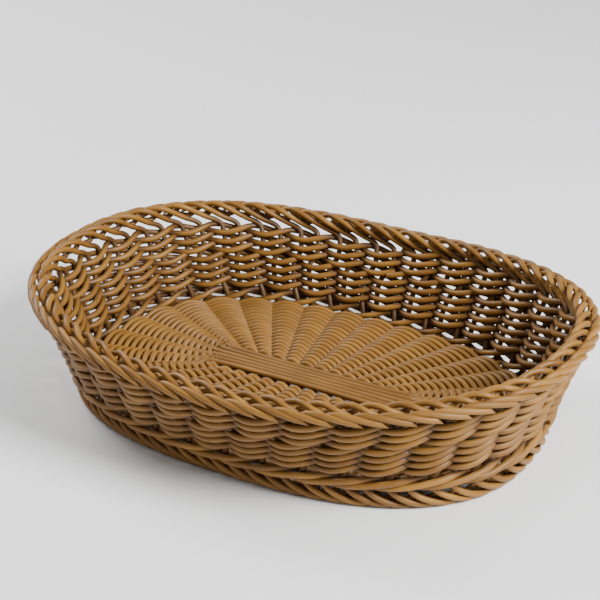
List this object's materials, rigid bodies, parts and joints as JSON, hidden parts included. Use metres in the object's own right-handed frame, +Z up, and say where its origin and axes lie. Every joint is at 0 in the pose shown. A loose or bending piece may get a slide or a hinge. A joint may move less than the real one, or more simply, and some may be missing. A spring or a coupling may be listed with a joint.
{
  "type": "woven bread basket",
  "caption": "Oval open basket hand-woven from round brown plastic strands, with flared sides, a plaited rim and a plaited foot, for serving bread.",
  "frame": {"origin": "centre of the flat footprint, on the surface the basket stands on", "axes": "+X along the basket's long axis, +Y across it, +Z up out of the opening"},
  "size_m": [0.3506, 0.2654, 0.082],
  "materials": {
    "stake_strand": "satin",
    "weaver_strand": "satin",
    "base_strand": "satin"
  },
  "bodies": {
    "root": {"side_stake_pair_01": "stake_strand", "side_stake_pair_02": "stake_strand", "side_stake_pair_03": "stake_strand", "side_stake_pair_04": "stake_strand", "side_stake_pair_05": "stake_strand", "side_stake_pair_06": "stake_strand", "side_stake_pair_07": "stake_strand", "side_stake_pair_08": "stake_strand", "side_stake_pair_09": "stake_strand", "side_stake_pair_10": "stake_strand", "side_stake_pair_11": "stake_strand", "side_stake_pair_12": "stake_strand", "side_stake_pair_13": "stake_strand", "side_stake_pair_14": "stake_strand", "side_stake_pair_15": "stake_strand", "side_stake_pair_16": "stake_strand", "side_stake_pair_17": "stake_strand", "side_stake_pair_18": "stake_strand", "side_stake_pair_19": "stake_strand", "side_stake_pair_20": "stake_strand", "side_stake_pair_21": "stake_strand", "side_stake_pair_22": "stake_strand", "side_stake_pair_23": "stake_strand", "side_stake_pair_24": "stake_strand", "side_stake_pair_25": "stake_strand", "side_stake_pair_26": "stake_strand", "side_stake_pair_27": "stake_strand", "side_stake_pair_28": "stake_strand", "side_stake_pair_29": "stake_strand", "side_stake_pair_30": "stake_strand", "side_stake_pair_31": "stake_strand", "side_stake_pair_32": "stake_strand", "side_stake_pair_33": "stake_strand", "side_stake_pair_34": "stake_strand", "upper_weaver_a": "weaver_strand", "upper_weaver_b": "weaver_strand", "lower_weaver_a": "weaver_strand", "lower_weaver_b": "weaver_strand", "wale_strand_a": "weaver_strand", "wale_strand_b": "weaver_strand", "wale_strand_c": "weaver_strand", "base_cross_stick_01": "base_strand", "base_cross_stick_02": "base_strand", "base_cross_stick_03": "base_strand", "base_cross_stick_04": "base_strand", "base_cross_stick_05": "base_strand", "base_cross_stick_06": "base_strand", "base_cross_stick_07": "base_strand", "base_cross_stick_08": "base_strand", "base_cross_stick_09": "base_strand", "base_cross_stick_10": "base_strand", "base_cross_stick_11": "base_strand", "base_long_stick_01": "base_strand", "base_long_stick_02": "base_strand", "base_long_stick_03": "base_strand", "base_long_stick_04": "base_strand", "base_long_stick_05": "base_strand", "base_long_stick_06": "base_strand", "base_weaver_over": "base_strand", "base_weaver_under": "base_strand"}
  },
  "joints": []
}
